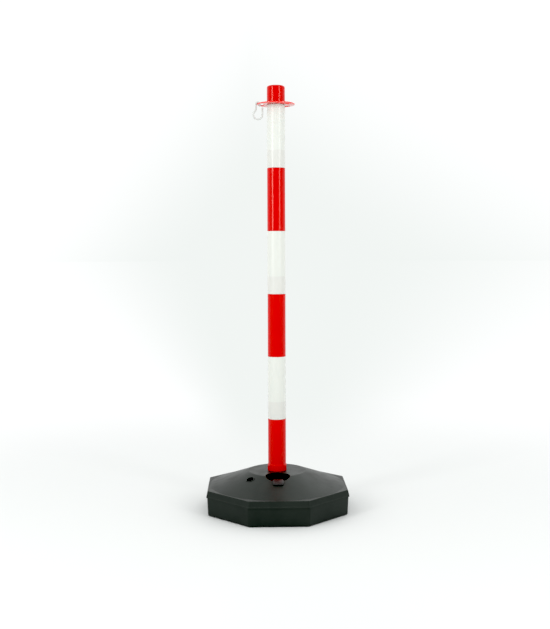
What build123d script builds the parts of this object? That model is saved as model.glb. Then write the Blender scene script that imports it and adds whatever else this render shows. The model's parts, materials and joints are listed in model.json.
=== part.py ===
from build123d import *
from math import atan2, cos, degrees, radians, sqrt
import os

# Chain post: a red and white plug-together post on an octagonal base filled with water.
# Millimetres, +Z up. The origin is the centre of the base's underside.
# The front of the base, where its filler and vent are, faces -Y.

# --- Base -----------------------------------------------------------------
WALL = 2.5                  # moulded wall of both base shells
FLATS_FOOT = 303.6          # across flats, pan at the ground
FLATS_PAN_TOP = 307.4       # across flats, pan at the seam
FLATS_SEAM = 310.4          # across flats, lip of the cover
FLATS_RIM = 304.4           # across flats, crisp upper rim
SEAM_Z = 40.0
LIP_HEIGHT = 3.0
RIM_Z = 55.0
CONE_FOOT_R = 149.8
PLATEAU_R = 64.0
PLATEAU_Z = 85.5
PLATEAU_EDGE_R = 8.0        # rounding between the slope and the plateau
RIM_EDGE_R = 0.8            # rounding along the cover's upper rim
PAN_CORNER_R = 9.0          # rounding of the pan's upright corners
PAN_FOOT_EDGE_R = 4.0       # rounding round the underside
COVER_CORNER_R = 2.0
FLOOR_TOP_Z = 4.0
FLOOR_RECESS = 1.2          # the underside stands on an outer ring
FLOOR_RECESS_FLATS = 262.0
TONGUE_HEIGHT = 6.0         # the pan's edge runs up inside the cover
TONGUE_LEAN = 3.0           # and leans in with the cover's skirt
SHELL_GAP = 0.2             # between pan and cover where they meet
WATER_TOP_Z = 50.0
WATER_GAP = 0.4             # between the water and the walls around it
WATER_CROWN_STEP = 4.0      # the water above the seam is narrower, clear of the tongue

# --- Filler, vent and well in the cover -------------------------------------
FILLER_Y = -54.5
POCKET_R = 26.3
LEDGE_Z = 76.2
LEDGE_THICK = 2.4
NECK_R = 24.4
NECK_BOTTOM_Z = 66.0
BOSS_WALL = 2.2             # wall of the pocket and the neck
MOUTH_EDGE_R = 0.7          # rounding of the pocket's and the well's mouths
VENT_R = 7.5
VENT_RIM_R = 9.6
VENT_RIM_RISE = 0.9
VENT_EDGE_R = 0.35
VENT_AT = (-60.0, -58.5)
WELL_R = 19.1
WELL_BOTTOM_Z = 4.2

# --- Filler bung ------------------------------------------------------------
BUNG_FLANGE_R = 25.9
BUNG_FLANGE_Z = (76.4, 79.2)
BUNG_R = 24.1
BUNG_WALL = 1.6
BUNG_BOTTOM_Z = 56.0
LEAD_IN = (1.5, 3.0)        # chamfer round the bung's and the plug's bottoms, across and up
TAB_WIDTH = 23.0
TAB_CORNER_R = 4.0
TAB_OUTLINE = (             # side view of the pull tab: (y, z), from the flange round its tip
    (-75.4, 79.0),
    (-77.6, 79.0),
    (-77.6, 80.45),
    (-80.0, 80.45),
    (-93.0, 76.5),
    (-93.6, 75.2),
    (-98.0, 73.9),
    (-98.0, 77.2),
    (-82.5, 82.3),
    (-75.4, 82.3),
)

# --- Post -------------------------------------------------------------------
TUBE_R = 20.0
TUBE_WALL = 2.0
SEGMENT_LENGTH = 139.0      # visible length of each segment
FIRST_SHOULDER_Z = 201.0    # top of the foot segment's tube
SPIGOT_LENGTH = 39.0
SPIGOT_R = 17.9             # slides in the tube above with 0.1 mm to spare
SPIGOT_WALL = 2.0
SEAT_GAP = 0.1              # between a tube's end and the shoulder that it stands on
TUBE_EDGE = 0.5             # chamfer at each end of a tube
SPIGOT_LEAD_IN = (0.8, 1.5)  # chamfer at a spigot's end, across and along
COLLAR_R = 21.25
COLLAR_Z = (85.7, 100.0)
COLLAR_EDGE_R = (3.2, 1.2)  # rounding at its foot and at its top
PLUG_R = 19.0
PLUG_BOTTOM_Z = 10.0
PLUG_WALL = 2.4
PLUG_TOP_OVERLAP = 2.0      # the plug runs this far up inside the collar
BORE_TAPER = 4.0            # height of the cone from the plug's bore to the tube's

# --- Head -------------------------------------------------------------------
RING_R = 42.0
RING_THICK = 2.5
RING_LIFT = 0.15            # above the top shoulder
RING_EDGE_R = 0.9
RING_CLEARANCE = 0.1        # round the spigot, for the ring and the cap
EYELET_R = 32.75            # radius of the eyelets' centre line
EYELET_WIDTH = 9.5
EYELET_HALF_ANGLE = 25.0
EYELET_COUNT = 3
CAP_LIFT = 0.15             # above the ring
CAP_HEIGHT = 38.6
CAP_DOME = 1.2
CAP_EDGE_R = 4.5
CAP_CEILING = 2.0

# --- Hook -------------------------------------------------------------------
WIRE_R = 2.0
HOOP_R = 39.75              # middle of the ring's outer bar, where the hook hangs
EYE_R = 4.5                 # centre line of the hook's upper eye
EYE_TIP_ANGLE = -40.0
CURL_R = 10.0
CURL_X = -40.1              # hangs the hook's weight straight below the bar
CURL_Z = 874.4
HOOK_TIP_Z = 888.6

TOUCH = 0.01                # how near counts as the same place
TOP_SHOULDER_Z = FIRST_SHOULDER_Z + 5 * SEGMENT_LENGTH
RING_Z = TOP_SHOULDER_Z + RING_LIFT
CAP_Z = RING_Z + RING_THICK + CAP_LIFT
CROWN_R = (TUBE_R**2 + CAP_DOME**2) / (2 * CAP_DOME)
CONE_SLOPE = (PLATEAU_Z - RIM_Z) / (CONE_FOOT_R - PLATEAU_R)


def octagon(flats, corner_r):
    """Octagon with a flat towards -Y."""
    shape = RegularPolygon(flats / 2 / cos(radians(22.5)), 8, rotation=22.5)
    return fillet(shape.vertices(), corner_r)


def octagon_block(flats_low, flats_high, z_low, z_high, corner_r):
    """Eight-sided block whose flats lean from one width to another."""
    low = Pos(0, 0, z_low) * octagon(flats_low, corner_r)
    high = Pos(0, 0, z_high) * octagon(flats_high, corner_r)
    return loft([low, high])


def turned(*points):
    """Solid turned about Z from (radius, height) points."""
    outline = make_face(Polyline([(r, 0, z) for r, z in points], close=True))
    return revolve(outline, Axis.Z)


def tube(outer_r, inner_r, z_low, z_high):
    """Plain round tube on the Z axis."""
    return turned((inner_r, z_low), (outer_r, z_low), (outer_r, z_high), (inner_r, z_high))


def disc(radius, z_low, z_high):
    """Plain round block on the Z axis."""
    return turned((0, z_low), (radius, z_low), (radius, z_high), (0, z_high))


def cone_z(radius):
    """Height of the cover's sloping top at a radius."""
    return PLATEAU_Z - CONE_SLOPE * (radius - PLATEAU_R)


def cover_block(inset):
    """The cover's outer form, or its hollow when inset is the wall."""
    drop = inset * sqrt(1 + CONE_SLOPE**2)
    foot = CONE_FOOT_R - inset
    skirt = octagon_block(
        FLATS_SEAM - 2 * inset, FLATS_RIM - 2 * inset, SEAM_Z + LIP_HEIGHT, RIM_Z - inset, COVER_CORNER_R
    )
    lip = octagon_block(
        FLATS_SEAM - 2 * inset, FLATS_SEAM - 2 * inset, SEAM_Z, SEAM_Z + LIP_HEIGHT, COVER_CORNER_R
    )
    if inset == 0:
        skirt = fillet(skirt.edges().group_by(Axis.Z)[-1], RIM_EDGE_R)
    outline = make_face(
        Polyline(
            (0, 0, SEAM_Z),
            (foot, 0, SEAM_Z),
            (foot, 0, cone_z(foot) - drop),
            (PLATEAU_R, 0, PLATEAU_Z - drop),
            (0, 0, PLATEAU_Z - drop),
            close=True,
        )
    )
    edge = outline.vertices().sort_by(Axis.Z)[-2:].sort_by(Axis.X)[-1]
    return lip + skirt + revolve(fillet(edge, PLATEAU_EDGE_R), Axis.Z)


def base_pan():
    """Lower shell: floor, eight walls and the tongue that enters the cover."""
    rim_z = SEAM_Z - SHELL_GAP
    outer = octagon_block(FLATS_FOOT, FLATS_PAN_TOP, 0, rim_z, PAN_CORNER_R)
    outer = fillet(outer.edges().group_by(Axis.Z)[0], PAN_FOOT_EDGE_R)
    inside_r = PAN_CORNER_R - WALL
    hollow = octagon_block(
        FLATS_FOOT - 2 * WALL, FLATS_PAN_TOP - 2 * WALL, FLOOR_TOP_Z, rim_z, inside_r
    )
    tongue_flats = FLATS_SEAM - 2 * WALL - 2 * SHELL_GAP
    bore_flats = FLATS_PAN_TOP - 2 * WALL
    top_z = rim_z + TONGUE_HEIGHT
    tongue = octagon_block(tongue_flats, tongue_flats - TONGUE_LEAN, rim_z, top_z, PAN_CORNER_R)
    tongue -= octagon_block(bore_flats, bore_flats - TONGUE_LEAN, rim_z, top_z, inside_r)
    recess = octagon_block(FLOOR_RECESS_FLATS, FLOOR_RECESS_FLATS, 0, FLOOR_RECESS, PAN_CORNER_R)
    return outer - hollow + tongue - recess


def vent_frame():
    """Frame on the slope at the vent, its Z square to the surface."""
    x, y = VENT_AT
    radius = sqrt(x * x + y * y)
    normal = (CONE_SLOPE * x / radius, CONE_SLOPE * y / radius, 1)
    return Plane(origin=(x, y, cone_z(radius)), z_dir=normal)


def base_cover():
    """Upper shell: cone, plateau, post well, filler pocket and neck, vent."""
    outer = cover_block(0)
    vent = vent_frame()
    well = disc(WELL_R + WALL, WELL_BOTTOM_Z, PLATEAU_Z)
    at_filler = Pos(0, FILLER_Y, 0)
    pocket = at_filler * disc(POCKET_R + BOSS_WALL, LEDGE_Z - LEDGE_THICK, PLATEAU_Z) & outer
    neck = at_filler * disc(NECK_R + BOSS_WALL, NECK_BOTTOM_Z, LEDGE_Z)
    vent_rim = vent * Pos(0, 0, VENT_RIM_RISE - WALL / 2) * Cylinder(VENT_RIM_R, WALL)
    shell = outer - cover_block(WALL) + well + pocket + neck + vent_rim
    shell -= disc(WELL_R, WELL_BOTTOM_Z + WALL, PLATEAU_Z + 1)
    shell -= at_filler * disc(POCKET_R, LEDGE_Z, PLATEAU_Z + 1)
    shell -= at_filler * disc(NECK_R, NECK_BOTTOM_Z, LEDGE_Z)
    shell -= vent * Cylinder(VENT_R, 6 * WALL)
    rounds = shell.edges().filter_by(GeomType.CIRCLE)
    vent_edges = rounds.filter_by(lambda edge: is_near(edge.radius, VENT_R, VENT_RIM_R))
    shell = fillet(vent_edges, VENT_EDGE_R)
    rounds = shell.edges().filter_by(GeomType.CIRCLE)
    well_mouth = rounds.filter_by(lambda edge: is_near(edge.radius, WELL_R)).sort_by(Axis.Z)[-1:]
    pocket_mouth = shell.edges().filter_by(on_pocket_wall).sort_by(Axis.Z)[-1:]
    return fillet(well_mouth + pocket_mouth, MOUTH_EDGE_R)


def is_near(value, *targets):
    """Whether a length is one of those given."""
    return any(abs(value - target) < TOUCH for target in targets)


def on_pocket_wall(edge):
    """Whether an edge runs round the filler pocket's wall."""
    places = [edge @ t for t in (0, 0.5, 1)]
    return all(is_near(sqrt(p.X**2 + (p.Y - FILLER_Y) ** 2), POCKET_R) for p in places)


def water_ballast():
    """Still water inside the base, clear of every wall."""
    inset = 2 * WALL + 2 * WATER_GAP
    low = FLOOR_TOP_Z + WATER_GAP
    high = SEAM_Z
    body = octagon_block(FLATS_FOOT - inset, FLATS_PAN_TOP - inset, low, high, PAN_CORNER_R - WALL)
    upper_flats = FLATS_RIM - inset - WATER_CROWN_STEP
    body += octagon_block(upper_flats, upper_flats, high, WATER_TOP_Z, PAN_CORNER_R - WALL)
    return body - disc(WELL_R + WALL + WATER_GAP, 0, WATER_TOP_Z + 1)


def filler_bung():
    """Cup-shaped stopper with a flange and a pull tab over the slope."""
    low, high = BUNG_FLANGE_Z
    across, up = LEAD_IN
    cup = turned(
        (0, BUNG_BOTTOM_Z),
        (BUNG_R - across, BUNG_BOTTOM_Z),
        (BUNG_R, BUNG_BOTTOM_Z + up),
        (BUNG_R, low),
        (BUNG_FLANGE_R, low),
        (BUNG_FLANGE_R, high),
        (BUNG_R - BUNG_WALL, high),
        (BUNG_R - BUNG_WALL, BUNG_BOTTOM_Z + BUNG_WALL),
        (0, BUNG_BOTTOM_Z + BUNG_WALL),
    )
    cup = Pos(0, FILLER_Y, 0) * cup
    side = make_face(Polyline([(0, y, z) for y, z in TAB_OUTLINE], close=True))
    tab = extrude(side, TAB_WIDTH / 2, dir=(1, 0, 0), both=True)
    corners = tab.edges().filter_by(Axis.Z).sort_by(Axis.Y)[:2]
    return cup + fillet(corners, TAB_CORNER_R)


def spigot(shoulder_z):
    """Closed shoulder and the thinner tube that enters the piece above."""
    inner_r = SPIGOT_R - SPIGOT_WALL
    across, along = SPIGOT_LEAD_IN
    top = shoulder_z + SPIGOT_LENGTH
    return turned(
        (inner_r, shoulder_z - TUBE_WALL),
        (TUBE_R - TUBE_WALL / 2, shoulder_z - TUBE_WALL),
        (TUBE_R - TUBE_WALL / 2, shoulder_z),
        (SPIGOT_R, shoulder_z),
        (SPIGOT_R, top - along),
        (SPIGOT_R - across, top),
        (inner_r, top),
    )


def tube_segment(shoulder_z):
    """One plain segment of the post, named by the height of its shoulder."""
    low = shoulder_z - SEGMENT_LENGTH + SEAT_GAP
    bore_r = TUBE_R - TUBE_WALL
    body = turned(
        (bore_r + TUBE_EDGE, low),
        (TUBE_R - TUBE_EDGE, low),
        (TUBE_R, low + TUBE_EDGE),
        (TUBE_R, shoulder_z - TUBE_EDGE),
        (TUBE_R - TUBE_EDGE, shoulder_z),
        (bore_r, shoulder_z),
        (bore_r, low + TUBE_EDGE),
    )
    return body + spigot(shoulder_z)


def foot_segment():
    """Lowest segment: a collar that rests on the base and a plug in its well."""
    shoulder_z = FIRST_SHOULDER_Z
    low, high = COLLAR_Z
    bore_r = TUBE_R - TUBE_WALL
    plug_bore_r = PLUG_R - PLUG_WALL
    foot_edge_r, top_edge_r = COLLAR_EDGE_R
    across, up = LEAD_IN
    collar = fillet(disc(COLLAR_R, low, high).edges().group_by(Axis.Z)[0], foot_edge_r)
    collar = fillet(collar.edges().filter_by(GeomType.CIRCLE).group_by(Axis.Z)[-1], top_edge_r)
    body = turned(
        (0, PLUG_BOTTOM_Z),
        (PLUG_R - across, PLUG_BOTTOM_Z),
        (PLUG_R, PLUG_BOTTOM_Z + up),
        (PLUG_R, low + PLUG_TOP_OVERLAP),
        (TUBE_R, low + PLUG_TOP_OVERLAP),
        (TUBE_R, shoulder_z - TUBE_EDGE),
        (TUBE_R - TUBE_EDGE, shoulder_z),
        (0, shoulder_z),
    )
    hollow = turned(
        (0, PLUG_BOTTOM_Z),
        (plug_bore_r, PLUG_BOTTOM_Z),
        (plug_bore_r, high - BORE_TAPER),
        (bore_r, high),
        (bore_r, shoulder_z),
        (0, shoulder_z),
    )
    return body + collar - hollow + spigot(shoulder_z)


def chain_ring():
    """Flat ring round the top spigot, with long eyelets for chain hooks."""
    plate = disc(RING_R, RING_Z, RING_Z + RING_THICK)
    for turn in range(EYELET_COUNT):
        middle = 180 + turn * 360 / EYELET_COUNT
        arc = CenterArc((0, 0), EYELET_R, middle - EYELET_HALF_ANGLE, 2 * EYELET_HALF_ANGLE)
        plate -= extrude(Pos(0, 0, RING_Z) * SlotArc(arc, EYELET_WIDTH), RING_THICK, dir=(0, 0, 1))
    upright = plate.edges().filter_by(Axis.Z)
    plate = fillet([edge for edge in plate.edges() if edge not in upright], RING_EDGE_R)
    return plate - disc(SPIGOT_R + RING_CLEARANCE, RING_Z, RING_Z + RING_THICK)


def top_cap():
    """Hollow cap, slightly domed, that closes the post and holds the ring."""
    high = CAP_Z + CAP_HEIGHT
    top = high + CAP_DOME
    halfway = (TUBE_R / 2, 0, top - CROWN_R + sqrt(CROWN_R**2 - TUBE_R**2 / 4))
    crown = ThreePointArc((TUBE_R, 0, high), halfway, (0, 0, top))
    sides = Polyline((0, 0, top), (0, 0, CAP_Z), (TUBE_R, 0, CAP_Z), (TUBE_R, 0, high))
    outline = make_face(sides + crown)
    shoulder = outline.vertices().sort_by_distance((TUBE_R, 0, high))[0]
    body = revolve(fillet(shoulder, CAP_EDGE_R), Axis.Z)
    return body - disc(SPIGOT_R + RING_CLEARANCE, CAP_Z, high - CAP_CEILING)


def chain_hook():
    """Open wire hook: a small eye round the ring's bar and a large curl below."""
    eye_z = RING_Z + RING_THICK / 2
    eye = (-HOOP_R, eye_z)
    curl = (CURL_X, CURL_Z)
    bend_r = CURL_R
    shank_x = eye[0] - EYE_R
    bend_x = shank_x - bend_r
    bend_z = CURL_Z + sqrt((bend_r + CURL_R) ** 2 - (CURL_X - bend_x) ** 2)
    meet_angle = degrees(atan2(bend_z - CURL_Z, bend_x - CURL_X))
    route = Plane.XZ * (
        CenterArc(eye, EYE_R, EYE_TIP_ANGLE, 180 - EYE_TIP_ANGLE)
        + Line((shank_x, eye_z), (shank_x, bend_z))
        + CenterArc((bend_x, bend_z), bend_r, 0, meet_angle - 180)
        + CenterArc(curl, CURL_R, meet_angle, 360 - meet_angle)
        + Line((CURL_X + CURL_R, CURL_Z), (CURL_X + CURL_R, HOOK_TIP_Z))
    )
    path = route.wire()
    start = Plane(origin=path @ 0, z_dir=path % 0)
    wire = sweep(start * Circle(WIRE_R), path=path)
    return wire + Pos(path @ 0) * Sphere(WIRE_R) + Pos(path @ 1) * Sphere(WIRE_R)


NODES = {
    "base_pan": base_pan(),
    "base_cover": base_cover(),
    "water_ballast": water_ballast(),
    "filler_bung": filler_bung(),
    "red_foot_segment": foot_segment(),
    "chain_ring": chain_ring(),
    "top_cap": top_cap(),
    "chain_hook": chain_hook(),
}
UPPER_SEGMENTS = (
    "white_lower_segment",
    "red_middle_segment",
    "white_middle_segment",
    "red_upper_segment",
    "white_top_segment",
)
for place, name in enumerate(UPPER_SEGMENTS, start=1):
    NODES[name] = tube_segment(FIRST_SHOULDER_Z + place * SEGMENT_LENGTH)

os.makedirs("parts", exist_ok=True)
for name, piece in NODES.items():
    export_step(piece, f"parts/{name}.step")
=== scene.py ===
"""Looks of a chain post: a red and white plug-together post on an octagonal, water-filled base.

Metres, +Z up. The origin is the centre of the base's underside, and the front of the base,
where its filler and vent are, faces -Y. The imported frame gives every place; this script turns,
sweeps and cuts the finished pieces around it and gives each one its moulded plastic.
"""

import json
import logging
from collections.abc import Callable, Iterable, Sequence
from dataclasses import dataclass
from enum import Enum
from math import atan2, cos, degrees, hypot, pi, radians, sin, sqrt, tan
from typing import Any

import bmesh
import bpy
from mathutils import Matrix, Vector

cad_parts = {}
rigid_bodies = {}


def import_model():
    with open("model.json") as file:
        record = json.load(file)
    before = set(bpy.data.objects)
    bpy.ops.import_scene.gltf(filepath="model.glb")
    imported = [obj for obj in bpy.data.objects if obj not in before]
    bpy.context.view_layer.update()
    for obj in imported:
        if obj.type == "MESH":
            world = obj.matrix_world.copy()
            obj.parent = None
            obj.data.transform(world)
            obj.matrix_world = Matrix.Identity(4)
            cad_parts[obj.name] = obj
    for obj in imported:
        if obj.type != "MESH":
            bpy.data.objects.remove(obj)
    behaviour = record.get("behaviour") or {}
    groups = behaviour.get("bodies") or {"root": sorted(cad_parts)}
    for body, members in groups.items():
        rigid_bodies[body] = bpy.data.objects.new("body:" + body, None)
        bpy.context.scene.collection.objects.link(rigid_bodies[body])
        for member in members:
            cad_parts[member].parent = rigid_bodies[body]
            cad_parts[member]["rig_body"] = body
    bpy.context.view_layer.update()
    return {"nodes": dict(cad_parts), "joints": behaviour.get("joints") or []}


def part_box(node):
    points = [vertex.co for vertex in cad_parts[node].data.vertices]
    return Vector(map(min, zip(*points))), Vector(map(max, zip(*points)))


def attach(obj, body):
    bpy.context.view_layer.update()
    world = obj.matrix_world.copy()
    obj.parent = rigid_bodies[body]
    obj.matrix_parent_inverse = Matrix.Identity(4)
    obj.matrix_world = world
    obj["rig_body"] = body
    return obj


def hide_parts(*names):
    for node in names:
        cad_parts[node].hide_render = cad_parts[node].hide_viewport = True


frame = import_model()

LOG = logging.getLogger("chain_post")
MM = 0.001
ROUND_TURNS = 128           # facets round a turned piece
ARC_STEPS = 5               # facets across a rounded corner
HOLD = 0.6 * MM             # a rounded corner is held by a loop this far from it
WELD = 0.002 * MM
WORN_TURN = radians(10)     # faces that meet at more than this make an edge that wears
FACES_DOWN = -0.9           # a normal's Z on an underside, which doesn't wear
EDGE = "edge"               # point attribute: 1 on rounded edges, where wear shows
PAINTED_SPIGOT_SHADE = "backed"           # point attribute: 1 where a spigot stands behind a thin wall, which gets painted shade there

BLOTCH_CELL = 55 * MM       # slow drift of a moulding's colour
RAGGED_CELL = 5 * MM        # breaks in a rubbed edge
SCRATCH_CELL = 0.9 * MM
WORN_PATCH_CELL = 38 * MM   # patches that the scratches keep to
DUST_CLOUD_CELL = 22 * MM
DUST_SPECK_CELL = 1.1 * MM
WAVE_CELL = 26 * MM         # slow waviness of a moulded wall
DUST_COLOUR = (0.34, 0.33, 0.30)
COAT_ROUGHNESS = 0.08
WATER_IOR = 1.333
SLOT_END_FACETS = 36
SLOT_POINTS = 84
WIRE_TIP_ANGLES = (0.4, 0.8, 1.2)   # rings that round a wire's end, in radians

Point = tuple[float, float]
Colour = tuple[float, float, float]


# ---- Node graphs


def operator(operation: str, reflected: bool = False) -> Callable[["Value", Any], "Value"]:
    """The method behind one of Python's operators.

    Args:
        operation: The Math node's operation.
        reflected: Whether the Value stands on the operator's right.

    Returns:
        A method that adds the Math node.
    """

    def method(this: "Value", other: Any) -> "Value":
        """Adds the Math node and gives its result."""
        first, second = (other, this) if reflected else (this, other)
        return this._math(operation, first, second)

    return method


class Value:
    """An output socket that Python's operators work on, each adding one Math node."""

    def __init__(self, graph: "Graph", socket: bpy.types.NodeSocket) -> None:
        """Wraps a socket of a graph."""
        self.graph = graph
        self.socket = socket

    __add__, __radd__ = operator("ADD"), operator("ADD", reflected=True)
    __sub__, __rsub__ = operator("SUBTRACT"), operator("SUBTRACT", reflected=True)
    __mul__, __rmul__ = operator("MULTIPLY"), operator("MULTIPLY", reflected=True)
    __truediv__, __rtruediv__ = operator("DIVIDE"), operator("DIVIDE", reflected=True)

    def _math(self, operation: str, first: Any, second: Any) -> "Value":
        """One Math node on two numbers or sockets."""
        return self.graph.add("ShaderNodeMath", {"operation": operation}, {0: first, 1: second})

    def __abs__(self) -> "Value":
        """abs(self)."""
        return self._math("ABSOLUTE", self, 0.0)

    def largest(self, other: Any) -> "Value":
        """The larger of two values."""
        return self._math("MAXIMUM", self, other)

    def step(self, low: float, high: float) -> "Value":
        """A smooth step.

        Args:
            low: Where the step starts.
            high: Where it ends. Below low, the step goes down.

        Returns:
            0 before low, 1 after high and a smooth rise between, or the reverse.
        """
        start, end, first, last = (low, high, 0.0, 1.0) if low < high else (high, low, 1.0, 0.0)
        return self.graph.add(
            "ShaderNodeMapRange",
            {"interpolation_type": "SMOOTHSTEP"},
            {"Value": self, "From Min": start, "From Max": end, "To Min": first, "To Max": last},
        )


class Graph:
    """A node tree that is written as Python expressions."""

    def __init__(self, tree: bpy.types.NodeTree) -> None:
        """Wraps a node tree."""
        self.tree = tree

    def add(
        self,
        kind: str,
        settings: dict[str, Any] | None = None,
        inputs: dict[str | int, Any] | None = None,
        output: str | int = 0,
    ) -> Value:
        """Adds any node.

        Args:
            kind: The node's type.
            settings: Its own properties, set before its sockets.
            inputs: A number, colour or Value for each named or numbered input.
            output: The output that is wanted.

        Returns:
            That output as a Value.
        """
        node = self.tree.nodes.new(kind)
        for name, setting in (settings or {}).items():
            setattr(node, name, setting)
        for name, given in (inputs or {}).items():
            if isinstance(given, Value):
                self.tree.links.new(given.socket, node.inputs[name])
            elif given is not None:
                node.inputs[name].default_value = given
        if not len(node.outputs):
            return Value(self, None)
        return Value(self, node.outputs[output])

    def axis(self, vector: Value, letter: str) -> Value:
        """One axis of a vector, by its letter."""
        return self.add("ShaderNodeSeparateXYZ", None, {0: vector}, output=letter)

    def feed(self, node: bpy.types.Node, inputs: dict[str, Any]) -> None:
        """Links a Value, or sets a number or colour, on each named input of a node."""
        for name, given in inputs.items():
            if isinstance(given, Value):
                self.tree.links.new(given.socket, node.inputs[name])
            else:
                node.inputs[name].default_value = given

    def bump(
        self,
        height: Value,
        strength: float,
        distance: float,
        normal: Value | None = None,
        invert: bool = False,
    ) -> Value:
        """A normal that is bumped by a height, on top of another normal if one is given."""
        inputs = {"Strength": strength, "Distance": distance, "Height": height, "Normal": normal}
        return self.add("ShaderNodeBump", {"invert": invert}, inputs)

    def mix(self, share: Any, first: Any, second: Any) -> Value:
        """Mixes two colours.

        Args:
            share: How much of the second colour shows, 0 to 1.
            first: A colour or Value.
            second: A colour or Value.

        Returns:
            The mixed colour.
        """
        return self.add(
            "ShaderNodeMix",
            {"data_type": "RGBA"},
            {0: share, 6: opaque(first), 7: opaque(second)},
            output=2,
        )

    def noise(self, where: Value, cell: float, detail: float = 2.0, stretch: Colour = (1, 1, 1)) -> Value:
        """Fractal noise in the piece's own space.

        Args:
            where: Object coordinates.
            cell: Size of one blotch, in metres.
            detail: Number of finer layers.
            stretch: How much longer a blotch is along each axis.

        Returns:
            A value around 0.5.
        """
        scale = tuple(1 / (cell * s) for s in stretch)
        place = self.add("ShaderNodeMapping", None, {"Vector": where, "Scale": scale}, output=0)
        return self.add(
            "ShaderNodeTexNoise", None, {"Vector": place, "Scale": 1.0, "Detail": detail}, output=0
        )


def opaque(colour: Any) -> Any:
    """A colour with an alpha of 1, or the Value that it already is."""
    return colour if isinstance(colour, Value) else (*colour, 1.0)


def new_material(name: str) -> tuple[bpy.types.Material, Graph, bpy.types.Node]:
    """A new node material, with its graph and its main shader."""
    material = bpy.data.materials.new(name)
    material.use_nodes = True
    shader = next(n for n in material.node_tree.nodes if n.type == "BSDF_PRINCIPLED")
    return material, Graph(material.node_tree), shader


# ---- Finishes


class Grain(Enum):
    """How the mould's own surface shows on a piece."""

    SATIN = 0.012 * MM
    SPARKED = 0.045 * MM


@dataclass(frozen=True)
class MouldedPlastic:
    """A coloured plastic with its moulded grain, drift of colour, scratches and rubbed edges."""

    name: str
    colour: Colour
    rubbed: Colour                      # colour where an edge or a scratch is rubbed
    roughness: float
    gloss: float = 0.5                  # the shader's specular level
    grain: Grain = Grain.SATIN
    grain_cell: float = 0.7 * MM
    drift: float = 0.06                 # share by which the colour drifts over the piece
    scratches: float = 0.25             # how strongly the scratches show
    scratch_stretch: Colour = (1, 1, 14)
    edge_wear: float = 0.5
    rub_heights: tuple[float, ...] = ()  # heights of edges that wear, where no attribute says so
    rub_reach: float = 1.2 * MM
    ragged: Point = (0.42, 0.68)        # how broken up the rubbed edges are
    dust: float = 0.0                   # pale dust on what faces up
    glow: float = 0.0                   # share of light that scatters inside
    glow_reach: float = 1.6 * MM        # how far it scatters
    backed: Colour | None = None        # painted shade: a darker colour where a spigot stands behind the wall and keeps light from shining through
    sheen_tint: Colour = (1.0, 1.0, 1.0)  # tint of what it reflects
    coat: float = 0.0                   # a glossier skin over the grain

    def material(self) -> bpy.types.Material:
        """Builds the node material.

        Returns:
            The material, ready to be given to a piece.
        """
        material, graph, shader = new_material(self.name)
        where = graph.add("ShaderNodeTexCoord", output="Object")
        wear = self._wear(graph, where)
        scratch = self._scratches(graph, where)
        blotch = graph.noise(where, BLOTCH_CELL, 3.0)
        pale = self._tint(1 + self.drift)
        deep = self._tint(1 - self.drift)
        colour = graph.mix(blotch.step(0.3, 0.7), deep, pale)
        # Painted shade: darker where a spigot inside keeps light from shining through the wall.
        if self.backed:
            mask = graph.add("ShaderNodeAttribute", {"attribute_name": PAINTED_SPIGOT_SHADE}, output="Fac")
            colour = graph.mix(mask, colour, self.backed)
        colour = graph.mix(wear + scratch * self.scratches * 0.35, colour, self.rubbed)
        roughness = self.roughness + (blotch - 0.5) * 0.10 + wear * 0.16 + scratch * self.scratches * 0.3
        if self.dust:
            dust = self._dust(graph, where)
            colour = graph.mix(dust * self.dust, colour, DUST_COLOUR)
            roughness = roughness + dust * 0.2
        graph.feed(
            shader,
            {
                "Base Color": colour,
                "Roughness": roughness,
                "Normal": self._relief(graph, where, scratch),
                "Specular IOR Level": self.gloss,
                "Specular Tint": opaque(self.sheen_tint),
                "Coat Weight": self.coat,
                "Coat Roughness": COAT_ROUGHNESS,
                "Subsurface Weight": self.glow,
                "Subsurface Radius": (1.0, 0.9, 0.8),
                "Subsurface Scale": self.glow_reach,
            },
        )
        return material

    def _tint(self, factor: float) -> Colour:
        """The plastic's colour, lighter or darker by a factor."""
        return tuple(min(1.0, channel * factor) for channel in self.colour)

    def _wear(self, graph: Graph, where: Value) -> Value:
        """Mask of rubbed edges, broken up by noise."""
        ragged = graph.noise(where, RAGGED_CELL, 4.0).step(*self.ragged)
        if not self.rub_heights:
            edge = graph.add("ShaderNodeAttribute", {"attribute_name": EDGE}, output="Fac")
            return edge * ragged * self.edge_wear
        height = graph.axis(where, "Z")
        bands = [abs(height - level).step(self.rub_reach, 0.0) for level in self.rub_heights]
        edge = bands[0]
        for band in bands[1:]:
            edge = edge.largest(band)
        return edge * ragged * self.edge_wear

    def _scratches(self, graph: Graph, where: Value) -> Value:
        """Mask of fine scratches, long one way, in a few worn patches."""
        lines = graph.noise(where, SCRATCH_CELL, 1.0, self.scratch_stretch)
        patches = graph.noise(where, WORN_PATCH_CELL, 2.0)
        return lines.step(0.66, 0.74) * patches.step(0.46, 0.62)

    def _dust(self, graph: Graph, where: Value) -> Value:
        """Mask of thin dust that settles on what faces up."""
        facing = graph.add("ShaderNodeNewGeometry", output="Normal")
        up = graph.axis(facing, "Z")
        cloud = graph.noise(where, DUST_CLOUD_CELL, 5.0)
        speck = graph.noise(where, DUST_SPECK_CELL, 1.0)
        return up.step(0.35, 1.0) * (cloud.step(0.35, 0.8) * 0.6 + speck.step(0.66, 0.74) * 0.5)

    def _relief(self, graph: Graph, where: Value, scratch: Value) -> Value:
        """Normal from the slow waviness, the grain and the scratches."""
        wave = graph.noise(where, WAVE_CELL, 1.0)
        pits = graph.noise(where, self.grain_cell, 2.0)
        waved = graph.bump(wave, 0.5, 0.10 * MM)
        grained = graph.bump(pits, 0.8, self.grain.value, waved)
        return graph.bump(scratch, self.scratches, 0.02 * MM, grained, invert=True)


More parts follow.
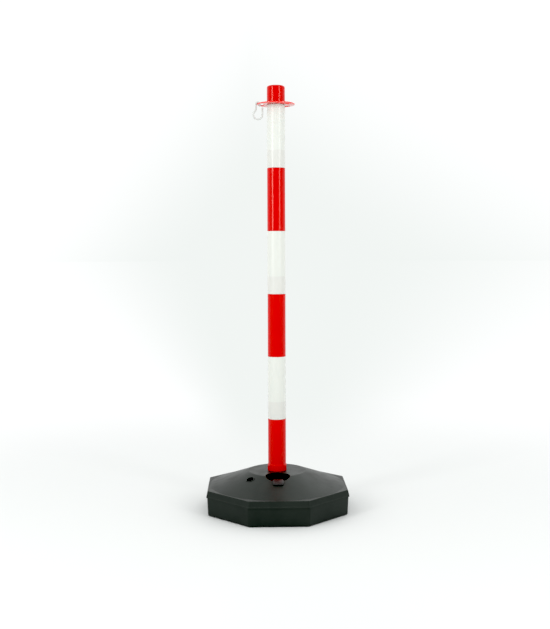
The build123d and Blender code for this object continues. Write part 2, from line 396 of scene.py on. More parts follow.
@dataclass(frozen=True)
class StillWater:
    """The ballast in the base: clear water with a faint ripple."""

    name: str = "ballast_water"
    tint: Colour = (0.82, 0.92, 0.94)
    ripple_cell: float = 34 * MM

    def material(self) -> bpy.types.Material:
        """Builds the node material."""
        material, graph, shader = new_material(self.name)
        where = graph.add("ShaderNodeTexCoord", output="Object")
        ripple = graph.noise(where, self.ripple_cell, 2.0)
        colour = graph.mix(ripple, self.tint, (0.9, 0.96, 0.97))
        graph.feed(
            shader,
            {
                "Base Color": colour,
                "Normal": graph.bump(ripple, 0.3, 0.4 * MM),
                "Roughness": 0.02 + ripple * 0.03,
                "IOR": WATER_IOR,
                "Transmission Weight": 1.0,
            },
        )
        return material


BLACK = MouldedPlastic(
    name="black_base_plastic",
    colour=(0.0245, 0.0268, 0.0245),
    rubbed=(0.060, 0.064, 0.058),
    roughness=0.33,
    gloss=0.21,
    # Painted reflection: its reflections are tinted green, a stand-in for a greenish cast in what the base
    # reflects.
    sheen_tint=(0.84, 1.0, 0.92),
    grain=Grain.SPARKED,
    grain_cell=0.8 * MM,
    drift=0.10,
    scratches=0.35,
    scratch_stretch=(12, 1, 1),
    edge_wear=0.45,
    rub_heights=(0.0546, 0.0430),
    ragged=(0.2, 0.9),
    dust=0.05,
)
BUNG_BLACK = MouldedPlastic(
    name="black_bung_plastic",
    colour=(0.006, 0.006, 0.006),
    rubbed=(0.05, 0.05, 0.05),
    roughness=0.33,
    gloss=0.45,
    grain=Grain.SATIN,
    edge_wear=0.4,
    dust=0.05,
)
RED = MouldedPlastic(
    name="red_post_plastic",
    colour=(0.57, 0.0012, 0.0012),
    rubbed=(0.60, 0.04, 0.03),
    roughness=0.14,
    gloss=0.50,
    sheen_tint=(1.0, 0.66, 0.58),
    grain=Grain.SATIN,
    drift=0.02,
    scratches=0.2,
    edge_wear=0.35,
)
# A lighter copy of the cap's red plastic, with a paler tint on its reflections: painted light for the pale
# light that the ring's underside catches from the floor.
RING_RED_PAINTED_LIGHTER = MouldedPlastic(
    name="red_ring_plastic",
    colour=(0.72, 0.030, 0.024),
    rubbed=(0.68, 0.06, 0.05),
    roughness=0.13,
    gloss=0.60,
    grain=Grain.SATIN,
    drift=0.02,
    scratches=0.25,
    scratch_stretch=(6, 6, 1),
    edge_wear=0.35,
    sheen_tint=(1.0, 0.88, 0.82),
    glow=1.2,
    glow_reach=4.0 * MM,
    coat=0.5,
)
WHITE = MouldedPlastic(
    name="white_post_plastic",
    colour=(0.682, 0.702, 0.656),
    rubbed=(0.62, 0.62, 0.58),
    roughness=0.26,
    gloss=0.40,
    grain=Grain.SATIN,
    drift=0.006,
    scratches=0.2,
    edge_wear=0.3,
    glow=0.15,
    # Painted shade on the lower wall, for the light that the spigot inside keeps from shining through.
    backed=(0.650, 0.655, 0.618),
)
HOOK_WHITE = MouldedPlastic(
    name="white_hook_plastic",
    colour=(0.60, 0.617, 0.597),
    rubbed=(0.56, 0.56, 0.53),
    roughness=0.30,
    gloss=0.45,
    grain=Grain.SATIN,
    drift=0.02,
    scratches=0.25,
    edge_wear=0.25,
    glow=0.2,
)


# ---- Outlines and meshes


@dataclass(frozen=True)
class Corner:
    """A corner of an outline, rounded to a radius, all in metres."""

    across: float
    up: float
    radius: float = 0.0


def rounded(corners: Sequence[Corner], closed: bool, hold: float = HOLD) -> list[Point]:
    """Rounds an outline's corners.

    Args:
        corners: The corners in order.
        closed: Whether the last corner joins the first.
        hold: Distance of the loops that keep each rounded corner crisp, where there is room.

    Returns:
        The outline's points, with an arc at each rounded corner.
    """
    points: list[Point] = []
    count = len(corners)
    for index, corner in enumerate(corners):
        here = Vector((corner.across, corner.up))
        ends = not closed and index in (0, count - 1)
        if corner.radius <= 0 or ends:
            points.append(tuple(here))
            continue
        before = corners[index - 1]
        after = corners[(index + 1) % count]
        back = Vector((before.across, before.up)) - here
        ahead = Vector((after.across, after.up)) - here
        half = back.angle(ahead) / 2
        reach = min(corner.radius / tan(half), 0.48 * back.length, 0.48 * ahead.length)
        radius = reach * tan(half)
        middle = here + (back.normalized() + ahead.normalized()).normalized() * radius / sin(half)
        start = here + back.normalized() * reach - middle
        end = here + ahead.normalized() * reach - middle
        if back.length > 2.2 * (reach + hold):
            points.append(tuple(here + back.normalized() * (reach + hold)))
        sweep = start.angle_signed(end)
        for step in range(ARC_STEPS + 1):
            turned = start.copy()
            turned.rotate(Matrix.Rotation(-sweep * step / ARC_STEPS, 2))
            points.append(tuple(middle + turned))
        if ahead.length > 2.2 * (reach + hold):
            points.append(tuple(here + ahead.normalized() * (reach + hold)))
    return points


def outline_object(name: str, points: Sequence[Point], closed: bool) -> bpy.types.Object:
    """An object that holds an outline as edges in the XZ plane.

    Args:
        name: The piece's name.
        points: Distance from the axis and height of each point.
        closed: Whether the last point joins the first.

    Returns:
        The object, ready for the turning tree.
    """
    mesh = bpy.data.meshes.new(name)
    edges = [(i, i + 1) for i in range(len(points) - 1)]
    if closed:
        edges.append((len(points) - 1, 0))
    mesh.from_pydata([(x, 0.0, z) for x, z in points], edges, [])
    return add_object(name, mesh)


def add_object(name: str, mesh: bpy.types.Mesh) -> bpy.types.Object:
    """Puts a mesh into the scene as an object at the origin."""
    thing = bpy.data.objects.new(name, mesh)
    bpy.context.scene.collection.objects.link(thing)
    return thing


def evaluated_mesh(thing: bpy.types.Object) -> bpy.types.Mesh:
    """The plain mesh that an object's modifiers make."""
    bpy.context.view_layer.update()
    depsgraph = bpy.context.evaluated_depsgraph_get()
    return bpy.data.meshes.new_from_object(thing.evaluated_get(depsgraph), depsgraph=depsgraph)


def settle(thing: bpy.types.Object) -> None:
    """Turns an object's modifiers into its plain mesh, and removes them."""
    made = evaluated_mesh(thing)
    thing.modifiers.clear()
    thing.data = made


def clean(thing: bpy.types.Object, mark_edges: bool = True, sharp: float = 50.0) -> None:
    """Welds a closed mesh, turns its faces outwards and shades it.

    Args:
        thing: The piece.
        mark_edges: Whether to write the edge attribute that wear follows.
        sharp: Faces that meet at more than this many degrees keep a sharp edge.
    """
    shape = bmesh.new()
    shape.from_mesh(thing.data)
    bmesh.ops.remove_doubles(shape, verts=shape.verts, dist=WELD)
    bmesh.ops.dissolve_degenerate(shape, edges=shape.edges, dist=WELD)
    bmesh.ops.recalc_face_normals(shape, faces=shape.faces)
    for face in shape.faces:
        face.smooth = True
    if mark_edges:
        layer = shape.verts.layers.float.get(EDGE) or shape.verts.layers.float.new(EDGE)
        for vertex in shape.verts:
            vertex[layer] = edge_amount(vertex)
    shape.to_mesh(thing.data)
    shape.free()
    thing.data.set_sharp_from_angle(angle=radians(sharp))
    thing.data.update()


def edge_amount(vertex: bmesh.types.BMVert) -> float:
    """1 on a rounded or sharp edge, 0 on a face or a gentle curve."""
    normals = [face.normal for face in vertex.link_faces]
    turns = [first.angle(second, 0.0) for first in normals for second in normals]
    worn = max(turns, default=0.0) > WORN_TURN and any(n.z > FACES_DOWN for n in normals)
    return float(worn)


# ---- Geometry Nodes trees


class GeometryTree:
    """A Geometry Nodes tree with named inputs, and how it is put on an object."""

    def __init__(self, name: str, inputs: dict[str, str]) -> None:
        """Makes the tree.

        Args:
            name: The tree's name.
            inputs: Socket type for each named input, after Geometry.
        """
        self.tree = bpy.data.node_groups.new(name, "GeometryNodeTree")
        self.graph = Graph(self.tree)
        self.sockets: dict[str, str] = {}
        interface = self.tree.interface
        interface.new_socket("Geometry", in_out="INPUT", socket_type="NodeSocketGeometry")
        for label, kind in inputs.items():
            socket = interface.new_socket(label, in_out="INPUT", socket_type=kind)
            self.sockets[label] = socket.identifier
        interface.new_socket("Geometry", in_out="OUTPUT", socket_type="NodeSocketGeometry")
        self.group_input = self.tree.nodes.new("NodeGroupInput")

    def given(self, label: str) -> Value:
        """A named input of the tree."""
        return Value(self.graph, self.group_input.outputs[label])

    def close(self, geometry: Value) -> None:
        """Ends the tree with Realize Instances and Set Material."""
        real = self.graph.add("GeometryNodeRealizeInstances", None, {0: geometry})
        dressed = self.graph.add(
            "GeometryNodeSetMaterial", None, {"Geometry": real, "Material": self.given("Finish")}
        )
        self.graph.add("NodeGroupOutput", None, {0: dressed})

    def put_on(self, thing: bpy.types.Object, **values: Any) -> None:
        """Runs the tree on an object and keeps the result as its plain mesh.

        Args:
            thing: The object whose mesh goes in as Geometry.
            **values: A value for each named input, with _ for a space.
        """
        modifier = thing.modifiers.new("shape", "NODES")
        modifier.node_group = self.tree
        for label, value in values.items():
            modifier[self.sockets[label.replace("_", " ")]] = value
        settle(thing)


class TurningTree(GeometryTree):
    """Turns an outline about the Z axis, as a lathe does."""

    RAIL_RADIUS = 1 * MM

    def __init__(self) -> None:
        """Builds the tree."""
        super().__init__("turned_piece", {"Turns": "NodeSocketInt", "Finish": "NodeSocketMaterial"})
        graph = self.graph
        place = graph.add("GeometryNodeInputPosition")
        across = graph.axis(place, "X")
        height = graph.axis(place, "Z")
        flat = graph.add(
            "ShaderNodeCombineXYZ", None, {"X": across - self.RAIL_RADIUS, "Y": 0.0 - height}
        )
        laid = graph.add("GeometryNodeSetPosition", None, {0: self.given("Geometry"), "Position": flat})
        outline = graph.add("GeometryNodeMeshToCurve", None, {0: laid})
        rail = graph.add(
            "GeometryNodeCurvePrimitiveCircle",
            None,
            {"Resolution": self.given("Turns"), "Radius": self.RAIL_RADIUS},
        )
        level = graph.add("GeometryNodeSetCurveNormal", {"mode": "Z_UP"}, {0: rail})
        skin = graph.add("GeometryNodeCurveToMesh", None, {"Curve": level, "Profile Curve": outline})
        welded = graph.add("GeometryNodeMergeByDistance", None, {0: skin, "Distance": WELD})
        self.close(welded)


class EyeletTree(GeometryTree):
    """A round plate with a bore and long curved eyelets, each the same."""

    def __init__(self) -> None:
        """Builds the tree."""
        lengths = ("Plate Radius", "Bore Radius", "Eyelet Radius", "Eyelet Width", "Thickness", "Height")
        kinds = {label: "NodeSocketFloat" for label in lengths}
        kinds |= {"Half Angle": "NodeSocketFloat", "Eyelets": "NodeSocketInt", "Turns": "NodeSocketInt"}
        super().__init__("eyelet_plate", kinds | {"Finish": "NodeSocketMaterial"})
        graph = self.graph
        turns = self.given("Turns")
        rim = self._circle(turns, self.given("Plate Radius"))
        bore = self._circle(turns, self.given("Bore Radius"))
        outlines = self._joined(rim, bore, self._eyelets())
        sheet = graph.add("GeometryNodeFillCurve", None, {0: outlines})
        raised = graph.add("ShaderNodeCombineXYZ", None, {"Z": self.given("Thickness")})
        top = graph.add(
            "GeometryNodeExtrudeMesh",
            None,
            {"Mesh": sheet, "Offset": raised, "Offset Scale": 1.0, "Individual": False},
        )
        under = graph.add("GeometryNodeFlipFaces", None, {0: sheet})
        shell = self._joined(top, under)
        welded = graph.add("GeometryNodeMergeByDistance", None, {0: shell, "Distance": WELD})
        lift = graph.add("ShaderNodeCombineXYZ", None, {"Z": self.given("Height")})
        self.close(graph.add("GeometryNodeTransform", None, {0: welded, "Translation": lift}))

    def _joined(self, *pieces: Value) -> Value:
        """Several geometries as one."""
        join = self.tree.nodes.new("GeometryNodeJoinGeometry")
        for piece in pieces:
            self.tree.links.new(piece.socket, join.inputs[0])
        return Value(self.graph, join.outputs[0])

    def _circle(self, turns: Value | int, radius: Value) -> Value:
        """A circle about the axis."""
        return self.graph.add(
            "GeometryNodeCurvePrimitiveCircle", None, {"Resolution": turns, "Radius": radius}
        )

    def _eyelets(self) -> Value:
        """The eyelets' outlines: a straight slot, bent round the axis and repeated."""
        graph = self.graph
        end_radius = self.given("Eyelet Width") * 0.5
        half_length = self.given("Eyelet Radius") * self.given("Half Angle")
        place = graph.add("GeometryNodeInputPosition")
        along = graph.axis(place, "X")
        side = graph.add("ShaderNodeMath", {"operation": "SIGN"}, {0: along})
        apart = graph.add("ShaderNodeCombineXYZ", None, {"X": side * half_length})
        ends = self._circle(SLOT_END_FACETS, end_radius)
        slot = graph.add("GeometryNodeSetPosition", None, {0: ends, "Offset": apart})
        even = graph.add("GeometryNodeResampleCurve", None, {"Curve": slot, "Count": SLOT_POINTS})
        bent_place = graph.add("GeometryNodeInputPosition")
        length = graph.axis(bent_place, "X")
        offset = graph.axis(bent_place, "Y")
        angle = length / self.given("Eyelet Radius")
        radius = self.given("Eyelet Radius") + offset
        bent = graph.add(
            "ShaderNodeCombineXYZ",
            None,
            {
                "X": graph.add("ShaderNodeMath", {"operation": "COSINE"}, {0: angle}) * radius,
                "Y": graph.add("ShaderNodeMath", {"operation": "SINE"}, {0: angle}) * radius,
            },
        )
        eyelet = graph.add("GeometryNodeSetPosition", None, {0: even, "Position": bent})
        points = graph.add("GeometryNodePoints", None, {"Count": self.given("Eyelets")})
        index = graph.add("GeometryNodeInputIndex")
        turn = pi + index * (2 * pi) / self.given("Eyelets")
        spin = graph.add("ShaderNodeCombineXYZ", None, {"Z": turn})
        copies = graph.add(
            "GeometryNodeInstanceOnPoints", None, {"Points": points, "Instance": eyelet, "Rotation": spin}
        )
        return graph.add("GeometryNodeRealizeInstances", None, {0: copies})


# ---- Sub-assemblies


@dataclass
class Workshop:
    """What the sub-assemblies share: the two shape trees and the finishes as materials."""

    turning: TurningTree
    eyelets: EyeletTree
    materials: dict[str, bpy.types.Material]

    @classmethod
    def opened(cls) -> "Workshop":
        """Builds the trees and the materials."""
        finishes = (BLACK, BUNG_BLACK, RED, RING_RED_PAINTED_LIGHTER, WHITE, HOOK_WHITE, StillWater())
        materials = {finish.name: finish.material() for finish in finishes}
        return cls(TurningTree(), EyeletTree(), materials)

    def turned(
        self, name: str, points: Sequence[Point], finish: MouldedPlastic, closed: bool
    ) -> bpy.types.Object:
        """Turns an outline into a finished piece.

        Args:
            name: The piece's name.
            points: The outline, as distance from the axis and height.
            finish: Its plastic.
            closed: Whether the outline closes on itself, or starts and ends on the axis.

        Returns:
            The turned piece.
        """
        piece = outline_object(name, points, closed)
        self.turning.put_on(piece, Turns=ROUND_TURNS, Finish=self.materials[finish.name])
        clean(piece)
        return piece

    def dress(self, thing: bpy.types.Object, name: str) -> None:
        """Gives a whole object one material."""
        thing.data.materials.clear()
        thing.data.materials.append(self.materials[name])


def place(piece: bpy.types.Object, node: str, slot: str) -> None:
    """Puts a finished piece in a CAD node's stead.

    Args:
        piece: The finished piece.
        node: The node that it stands for, on whose body it rides.
        slot: The record's material slot; not used.
    """
    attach(piece, frame["nodes"][node]["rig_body"])
    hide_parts(node)


@dataclass
class PostSegment:
    """One length of the post: a tube that ends in a shoulder and a thinner spigot."""

    node: str
    finish: MouldedPlastic
    slot: str
    wall: float = 2.0 * MM
    spigot_radius: float = 17.9 * MM
    spigot_length: float = 39.0 * MM
    end_round: float = 0.6 * MM
    lead_in: float = 1.3 * MM
    inner_round: float = 0.4 * MM

    def upper_corners(self, tube_radius: float, shoulder: float) -> list[Corner]:
        """The shoulder, the spigot and the step inside it, from outside in."""
        spigot_bore = self.spigot_radius - self.wall
        top = shoulder + self.spigot_length
        return [
            Corner(tube_radius, shoulder, self.end_round),
            Corner(self.spigot_radius, shoulder, 0.25 * MM),
            Corner(self.spigot_radius, top, self.lead_in),
            Corner(spigot_bore, top, self.inner_round),
            Corner(spigot_bore, shoulder - self.wall, self.inner_round),
            Corner(tube_radius - self.wall, shoulder - self.wall, self.inner_round),
        ]

    def corners(self) -> list[Corner]:
        """The segment's closed outline."""
        low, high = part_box(self.node)
        radius = high.x
        shoulder = high.z - self.spigot_length
        return [
            Corner(radius - self.wall, low.z, self.end_round),
            Corner(radius, low.z, self.end_round),
            Corner(radius, low.z + self.spigot_length - HOLD / 2),
            Corner(radius, low.z + self.spigot_length + HOLD / 2),
            *self.upper_corners(radius, shoulder),
        ]

    def build(self, shop: Workshop) -> None:
        """Turns the segment and puts it in its node's place."""
        piece = shop.turned(self.node + "_shell", rounded(self.corners(), closed=True), self.finish, True)
        self.mark_painted_spigot_shade(piece)
        place(piece, self.node, self.slot)

    def mark_painted_spigot_shade(self, piece: bpy.types.Object) -> None:
        """Marks the lower wall, which has the next spigot down behind it, for its painted shade."""
        low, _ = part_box(self.node)
        layer = piece.data.attributes.new(PAINTED_SPIGOT_SHADE, "FLOAT", "POINT")
        level = low.z + self.spigot_length
        layer.data.foreach_set("value", [float(v.co.z < level) for v in piece.data.vertices])


@dataclass
class FootSegment(PostSegment):
    """The lowest length: a collar that stands on the base and a plug below it."""

    collar_foot_round: float = 3.2 * MM
    collar_top_round: float = 1.2 * MM
    collar_height: float = 14.3 * MM
    collar_foot: float = 85.7 * MM
    tube_radius: float = 20.0 * MM
    plug_radius: float = 19.0 * MM
    plug_wall: float = 2.4 * MM
    bore_taper: float = 4.0 * MM

    def corners(self) -> list[Corner]:
        """The foot's closed outline."""
        low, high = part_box(self.node)
        collar_radius = high.x
        collar_top = self.collar_foot + self.collar_height
        plug_bore = self.plug_radius - self.plug_wall
        return [
            Corner(plug_bore, low.z, self.inner_round),
            Corner(self.plug_radius, low.z, 2.0 * MM),
            Corner(self.plug_radius, self.collar_foot, 0.2 * MM),
            Corner(collar_radius, self.collar_foot, self.collar_foot_round),
            Corner(collar_radius, collar_top, self.collar_top_round),
            Corner(self.tube_radius, collar_top, self.inner_round),
            *self.upper_corners(self.tube_radius, high.z - self.spigot_length),
            Corner(self.tube_radius - self.wall, collar_top, self.inner_round),
            Corner(plug_bore, collar_top - self.bore_taper, self.inner_round),
        ]

    def mark_painted_spigot_shade(self, piece: bpy.types.Object) -> None:
        """Nothing stands behind the foot's wall, so it gets no painted shade."""


@dataclass
class TopCap:
    """The hollow, slightly domed cap that closes the post."""

    node: str = "top_cap"
    bore_radius: float = 18.0 * MM
    dome: float = 1.2 * MM
    edge_round: float = 4.5 * MM
    ceiling: float = 2.0 * MM
    dome_shares: tuple[float, ...] = (0.2, 0.4, 0.6)    # of the radius, where the dome has loops
    gate_radius: float = 1.7 * MM
    gate_depth: float = 0.3 * MM

    def build(self, shop: Workshop) -> None:
        """Turns the cap, with the dimple that its mould's gate leaves."""
        low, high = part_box(self.node)
        radius = high.x
        crown = (radius**2 + self.dome**2) / (2 * self.dome)
        dome_points = [
            Corner(r, high.z - crown + sqrt(crown**2 - r**2))
            for r in (share * radius for share in self.dome_shares)
        ]
        corners = [
            Corner(0.0, high.z - self.gate_depth),
            Corner(self.gate_radius, high.z - self.gate_depth, 0.2 * MM),
            Corner(self.gate_radius + 0.4 * MM, high.z - 0.01 * MM, 0.2 * MM),
            *dome_points,
            Corner(radius, high.z - self.dome, self.edge_round),
            Corner(radius, low.z, 0.5 * MM),
            Corner(self.bore_radius, low.z, 0.4 * MM),
            Corner(self.bore_radius, high.z - self.dome - self.ceiling, 1.0 * MM),
            Corner(0.0, high.z - self.dome - self.ceiling),
        ]
        piece = shop.turned("top_cap_shell", rounded(corners, closed=False), RED, False)
        place(piece, self.node, "red_plastic")


@dataclass
class ChainRing:
    """The flat ring round the top spigot, with three long eyelets."""

    node: str = "chain_ring"
    bore_radius: float = 18.0 * MM
    eyelet_radius: float = 32.75 * MM
    eyelet_width: float = 9.5 * MM
    half_angle: float = 25.0
    eyelets: int = 3
    edge_round: float = 0.9 * MM
    rim_facets: int = 192

    def build(self, shop: Workshop) -> None:
        """Cuts the plate and rounds its edges."""
        low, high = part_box(self.node)
        piece = add_object("chain_ring_plate", bpy.data.meshes.new("chain_ring_plate"))
        shop.eyelets.put_on(
            piece,
            Plate_Radius=high.x,
            Bore_Radius=self.bore_radius,
            Eyelet_Radius=self.eyelet_radius,
            Eyelet_Width=self.eyelet_width,
            Thickness=high.z - low.z,
            Height=low.z,
            Half_Angle=radians(self.half_angle),
            Eyelets=self.eyelets,
            Turns=self.rim_facets,
            Finish=shop.materials[RING_RED_PAINTED_LIGHTER.name],
        )
        clean(piece, mark_edges=False)
        bevel = piece.modifiers.new("soft_edges", "BEVEL")
        bevel.width = self.edge_round
        bevel.segments = 5
        bevel.limit_method = "ANGLE"
        bevel.angle_limit = radians(60)
        settle(piece)
        clean(piece)
        place(piece, self.node, "red_plastic")


@dataclass
class ChainHook:
    """The open wire hook: an eye round the ring's bar and a curl below it."""

    node: str = "chain_hook"
    eye_radius: float = 4.5 * MM
    eye_tip: float = -40.0
    curl_radius: float = 10.0 * MM
    curl_centre: Point = (-40.1 * MM, 874.4 * MM)
    tip_height: float = 888.6 * MM
    facets: int = 20
    step: float = 0.9 * MM

    def build(self, shop: Workshop) -> None:
        """Sweeps the wire and puts it in its node's place."""
        low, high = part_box(self.node)
        wire_radius = (high.y - low.y) / 2
        piece = add_object("chain_hook_wire", self.swept(self.route(), wire_radius))
        clean(piece, mark_edges=False, sharp=80.0)
        shop.dress(piece, HOOK_WHITE.name)
        place(piece, self.node, "hook_plastic")

    def route(self) -> list[Point]:
        """The wire's centre line: eye, shank, reverse bend, curl and free leg."""
        swing = next(joint for joint in frame["joints"] if joint["name"] == "hook_swing")
        eye_x, _, eye_z = swing["pos_m"]
        curl_x, curl_z = self.curl_centre
        shank_x = eye_x - self.eye_radius
        bend_x = shank_x - self.curl_radius
        bend_z = curl_z + sqrt((2 * self.curl_radius) ** 2 - (curl_x - bend_x) ** 2)
        meeting = degrees(atan2(bend_z - curl_z, bend_x - curl_x))
        leg_x = curl_x + self.curl_radius
        return [
            *self.arc((eye_x, eye_z), self.eye_radius, self.eye_tip, 180.0),
            *self.run((shank_x, eye_z), (shank_x, bend_z)),
            *self.arc((bend_x, bend_z), self.curl_radius, 0.0, meeting - 180.0),
            *self.arc(self.curl_centre, self.curl_radius, meeting, 360.0),
            *self.run((leg_x, curl_z), (leg_x, self.tip_height)),
            (leg_x, self.tip_height),
        ]

    def arc(self, centre: Point, radius: float, start: float, end: float) -> list[Point]:
        """Points along an arc, in degrees, without its last."""
        count = max(4, round(abs(radians(end - start)) * radius / self.step))
        angles = [radians(start + (end - start) * i / count) for i in range(count)]
        return [(centre[0] + radius * cos(a), centre[1] + radius * sin(a)) for a in angles]

    def run(self, start: Point, end: Point) -> list[Point]:
        """Points along a straight run, without its last."""
        count = max(2, round(hypot(end[0] - start[0], end[1] - start[1]) / (2 * self.step)))
        return [
            (start[0] + (end[0] - start[0]) * i / count, start[1] + (end[1] - start[1]) * i / count)
            for i in range(count)
        ]

    def swept(self, route: Sequence[Point], radius: float) -> bpy.types.Mesh:
        """A round wire along a route in the XZ plane, with domed ends.

        Args:
            route: The centre line.
            radius: The wire's radius.

        Returns:
            The wire's mesh.
        """
        line = [Vector((x, 0.0, z)) for x, z in route]
        rings = [
            (line[0], line[1] - line[0], 0.0, -radius),
            *[(line[0], line[1] - line[0], cos(a), -radius * sin(a)) for a in WIRE_TIP_ANGLES[::-1]],
        ]
        for index, here in enumerate(line):
            before = line[max(0, index - 1)]
            after = line[min(len(line) - 1, index + 1)]
            rings.append((here, after - before, 1.0, 0.0))
        last = line[-1] - line[-2]
        rings += [(line[-1], last, cos(a), radius * sin(a)) for a in WIRE_TIP_ANGLES]
        rings.append((line[-1], last, 0.0, radius))
        shape = bmesh.new()
        loops = []
        for centre, ahead, share, shift in rings:
            ahead = ahead.normalized()
            side = ahead.cross(Vector((0, 1, 0)))
            middle = centre + ahead * shift
            loops.append(
                [
                    shape.verts.new(middle + (side * cos(a) + Vector((0, 1, 0)) * sin(a)) * radius * share)
                    for a in (2 * pi * i / self.facets for i in range(self.facets))
                ]
            )
        for first, second in zip(loops, loops[1:]):
            for i in range(self.facets):
                j = (i + 1) % self.facets
                shape.faces.new((first[i], first[j], second[j], second[i]))
        mesh = bpy.data.meshes.new("chain_hook_wire")
        shape.to_mesh(mesh)
        shape.free()
        return mesh


@dataclass
class FillerBung:
    """The cup-shaped stopper with its flange and the pull tab that lies over the slope."""

    node: str = "filler_bung"
    centre_y: float = -54.5 * MM
    flange_radius: float = 25.9 * MM
    flange_low: float = 76.4 * MM
    flange_high: float = 79.2 * MM
    cup_radius: float = 24.1 * MM
    wall: float = 1.6 * MM
    tab_width: float = 23.0 * MM
    tab_corner: float = 4.0 * MM
    tab_outline: tuple[Point, ...] = (
        (-75.4, 79.0),
        (-77.6, 79.0),
        (-77.6, 80.45),
        (-80.0, 80.45),
        (-93.0, 76.5),
        (-93.6, 75.2),
        (-98.0, 73.9),
        (-98.0, 77.2),
        (-82.5, 82.3),
        (-75.4, 82.3),
    )
    soft_edge: float = 0.45 * MM

    def build(self, shop: Workshop) -> None:
        """Turns the cup, joins the tab to it and puts it in its node's place."""
        low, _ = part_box(self.node)
        corners = [
            Corner(0.0, low.z),
            Corner(self.cup_radius, low.z, 2.4 * MM),
            Corner(self.cup_radius, self.flange_low, 0.3 * MM),
            Corner(self.flange_radius, self.flange_low, 0.5 * MM),
            Corner(self.flange_radius, self.flange_high, 0.7 * MM),
            Corner(self.cup_radius - self.wall, self.flange_high, 0.5 * MM),
            Corner(self.cup_radius - self.wall, low.z + self.wall, 1.6 * MM),
            Corner(0.0, low.z + self.wall),
        ]
        piece = shop.turned("filler_bung_cup", rounded(corners, closed=False), BUNG_BLACK, False)
        piece.data.transform(Matrix.Translation((0.0, self.centre_y, 0.0)))
        tab = add_object("pull_tab", self.tab_mesh())
        union = piece.modifiers.new("tab", "BOOLEAN")
        union.operation = "UNION"
        union.solver = "EXACT"
        union.object = tab
        settle(piece)
        bpy.data.objects.remove(tab)
        clean(piece, sharp=35.0)
        shop.dress(piece, BUNG_BLACK.name)
        place(piece, self.node, "bung_plastic")

    def tab_mesh(self) -> bpy.types.Mesh:
        """The tab's outline drawn across its width, with a rounded tip and soft edges."""
        shape = bmesh.new()
        sides = []
        for x in (-self.tab_width / 2, self.tab_width / 2):
            sides.append([shape.verts.new((x, y * MM, z * MM)) for y, z in self.tab_outline])
        shape.faces.new(sides[0])
        shape.faces.new(sides[1])
        count = len(self.tab_outline)
        for i in range(count):
            j = (i + 1) % count
            shape.faces.new((sides[0][i], sides[0][j], sides[1][j], sides[1][i]))
        bmesh.ops.recalc_face_normals(shape, faces=shape.faces)
        tip_y = min(y for y, _ in self.tab_outline) * MM
        tips = [e for e in shape.edges if all(abs(v.co.y - tip_y) < WELD for v in e.verts)]
        upright = [e for e in tips if abs(e.verts[0].co.x - e.verts[1].co.x) < WELD]
        bmesh.ops.bevel(
            shape, geom=upright, offset=self.tab_corner, segments=8, profile=0.5, affect="EDGES"
        )
        rims = [e for e in shape.edges if len(e.link_faces) == 2 and e.calc_face_angle(0.0) > radians(30)]
        bmesh.ops.bevel(
            shape, geom=rims, offset=self.soft_edge, segments=3, profile=0.5, affect="EDGES"
        )
        bmesh.ops.recalc_face_normals(shape, faces=shape.faces)
        mesh = bpy.data.meshes.new("pull_tab")
        shape.to_mesh(mesh)
        shape.free()
        return mesh


@dataclass
class Base:
    """The two shells of the base and the water in them, which keep their own shapes."""

    cover: str = "base_cover"
    pan: str = "base_pan"
    water: str = "water_ballast"

    def build(self, shop: Workshop) -> None:
        """Gives each shell and the water its finish."""
        for node, finish in ((self.cover, BLACK.name), (self.pan, BLACK.name), (self.water, "ballast_water")):
            shop.dress(frame["nodes"][node], finish)
            LOG.info("%s: finished in %s", node, finish)


# ---- Studio


@dataclass
class Softbox:
    """A tall rectangular lamp that faces the post."""

    name: str
    azimuth: float              # degrees from +X, seen from above
    distance: float
    height: float               # of its middle
    size: tuple[float, float]
    power: float
    aim_height: float = 0.5

    def build(self) -> None:
        """Adds the lamp."""
        data = bpy.data.lights.new(self.name, "AREA")
        data.shape = "RECTANGLE"
        data.size, data.size_y = self.size
        data.energy = self.power
        lamp = bpy.data.objects.new(self.name, data)
        around = radians(self.azimuth)
        lamp.location = (self.distance * cos(around), self.distance * sin(around), self.height)
        aim = Vector((0.0, 0.0, self.aim_height)) - lamp.location
        lamp.rotation_euler = aim.to_track_quat("-Z", "Y").to_euler()
        bpy.context.scene.collection.objects.link(lamp)


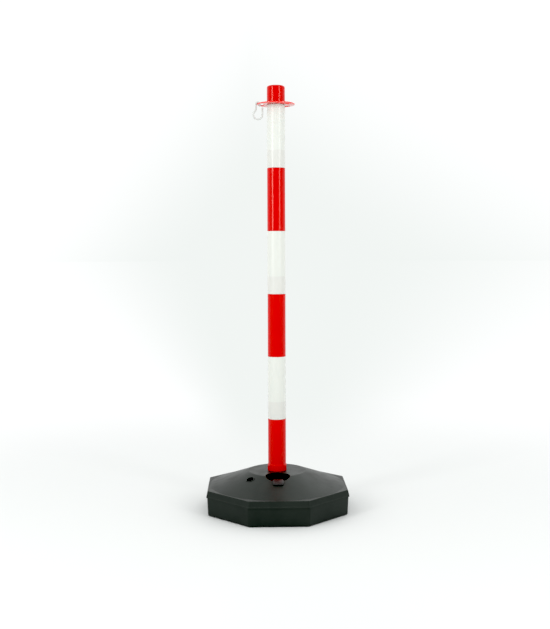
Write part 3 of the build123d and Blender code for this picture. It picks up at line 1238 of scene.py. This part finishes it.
@dataclass
class Studio:
    """A pale floor that runs out into a pale surround, soft lamps and the camera."""

    surround: Colour = (0.885, 0.918, 0.90)
    bright: Colour = (1.02, 1.03, 1.03)
    rise: float = 3.2                # how fast the surround brightens upwards
    left_rise: float = 3.6           # towards -X
    right_rise: float = 1.9          # towards +X
    black_level: float = 0.03        # darkest tone that still shows
    floor_albedo: Colour = (0.78, 0.795, 0.785)
    floor_radius: float = 40.0
    fade_from: float = 0.35
    fade_to: float = 1.6
    camera_azimuth: float = -91.345
    camera_distance: float = 2.1226
    camera_height: float = 0.5813
    camera_side: float = 0.0033      # moved to its own left
    camera_pitch: float = -1.90
    camera_roll: float = -0.2
    lens: float = 54.76
    shift_up: float = -0.0557

    def build(self) -> None:
        """Builds the floor, the surround, the lamps and the camera."""
        self.camera()
        self.world()
        self.floor()
        facing = self.camera_azimuth
        for lamp in (
            Softbox("left_softbox", facing - 47, 2.1, 1.12, (0.42, 1.25), 13.6),
            Softbox("right_softbox", facing + 44, 2.1, 1.12, (0.40, 1.25), 9.8),
            Softbox("rear_softbox", facing + 160, 2.0, 1.75, (1.2, 1.1), 3.6, 0.1),
        ):
            lamp.build()

    def camera(self) -> None:
        """Sets up the camera and the plain view transform."""
        data = bpy.data.cameras.new("camera")
        data.lens = self.lens
        data.sensor_width = 36.0
        data.shift_y = self.shift_up
        data.clip_end = 200.0
        around = radians(self.camera_azimuth)
        heading = around + pi / 2
        left = Vector((-cos(heading), -sin(heading), 0.0))
        stand = Vector((cos(around), sin(around), 0.0)) * self.camera_distance
        stand += left * self.camera_side + Vector((0.0, 0.0, self.camera_height))
        turn = (
            Matrix.Rotation(heading, 4, "Z")
            @ Matrix.Rotation(pi / 2 + radians(self.camera_pitch), 4, "X")
            @ Matrix.Rotation(radians(self.camera_roll), 4, "Z")
        )
        camera = bpy.data.objects.new("camera", data)
        camera.matrix_world = Matrix.Translation(stand) @ turn
        scene = bpy.context.scene
        scene.collection.objects.link(camera)
        scene.camera = camera
        scene.view_settings.view_transform = "Standard"
        scene.view_settings.use_curve_mapping = True
        tones = scene.view_settings.curve_mapping
        tones.black_level = (self.black_level,) * 3
        tones.update()

    def surround_colour(self, graph: Graph, across: Value, up: Value | float) -> Value:
        """The surround's colour in a direction.

        Args:
            graph: The tree that it is for.
            across: The direction's X.
            up: The direction's Z.

        Returns:
            The colour, which brightens upwards and to both sides.
        """
        sideways = (across * -self.left_rise).largest(across * self.right_rise)
        glow = (up * self.rise + sideways).step(0.2, 0.9)
        return graph.mix(glow, self.surround, self.bright)

    def world(self) -> None:
        """A pale surround, brighter high on the left."""
        world = bpy.data.worlds.new("surround")
        bpy.context.scene.world = world
        world.use_nodes = True
        graph = Graph(world.node_tree)
        way = graph.add("ShaderNodeTexCoord", output="Generated")
        across = graph.axis(way, "X")
        up = graph.axis(way, "Z")
        colour = self.surround_colour(graph, across, up)
        background = next(n for n in world.node_tree.nodes if n.type == "BACKGROUND")
        world.node_tree.links.new(colour.socket, background.inputs["Color"])

    def floor(self) -> None:
        """A wide round floor whose far part takes the surround's own light."""
        shape = bmesh.new()
        bmesh.ops.create_circle(shape, cap_ends=True, radius=self.floor_radius, segments=96)
        mesh = bpy.data.meshes.new("floor")
        shape.to_mesh(mesh)
        shape.free()
        floor = add_object("floor", mesh)
        material, graph, shader = new_material("floor_paper")
        output = next(n for n in material.node_tree.nodes if n.type == "OUTPUT_MATERIAL")
        where = graph.add("ShaderNodeTexCoord", output="Object")
        reach = graph.add("ShaderNodeVectorMath", {"operation": "LENGTH"}, {0: where}, output="Value")
        fibre = graph.noise(where, 3 * MM, 3.0)
        paper = graph.mix(fibre, tuple(0.985 * c for c in self.floor_albedo), self.floor_albedo)
        graph.feed(shader, {"Base Color": paper, "Roughness": 0.8, "Specular IOR Level": 0.15})
        across = graph.axis(where, "X") / reach
        far = self.surround_colour(graph, across, 0.0)
        glow = graph.add("ShaderNodeEmission", None, {"Color": far, "Strength": 1.0})
        both = graph.add(
            "ShaderNodeMixShader",
            None,
            {0: reach.step(self.fade_from, self.fade_to), 1: Value(graph, shader.outputs[0]), 2: glow},
        )
        graph.tree.links.new(both.socket, output.inputs["Surface"])
        floor.data.materials.append(material)


def main() -> None:
    """Builds the studio and every piece."""
    logging.basicConfig(level=logging.INFO, format="%(name)s: %(message)s")
    Studio().build()
    shop = Workshop.opened()
    Base().build(shop)
    FillerBung().build(shop)
    FootSegment("red_foot_segment", RED, "red_plastic").build(shop)
    for node in ("red_middle_segment", "red_upper_segment"):
        PostSegment(node, RED, "red_plastic").build(shop)
    for node in ("white_lower_segment", "white_middle_segment", "white_top_segment"):
        PostSegment(node, WHITE, "white_plastic").build(shop)
    ChainRing().build(shop)
    TopCap().build(shop)
    ChainHook().build(shop)


if __name__ == "__main__":
    main()
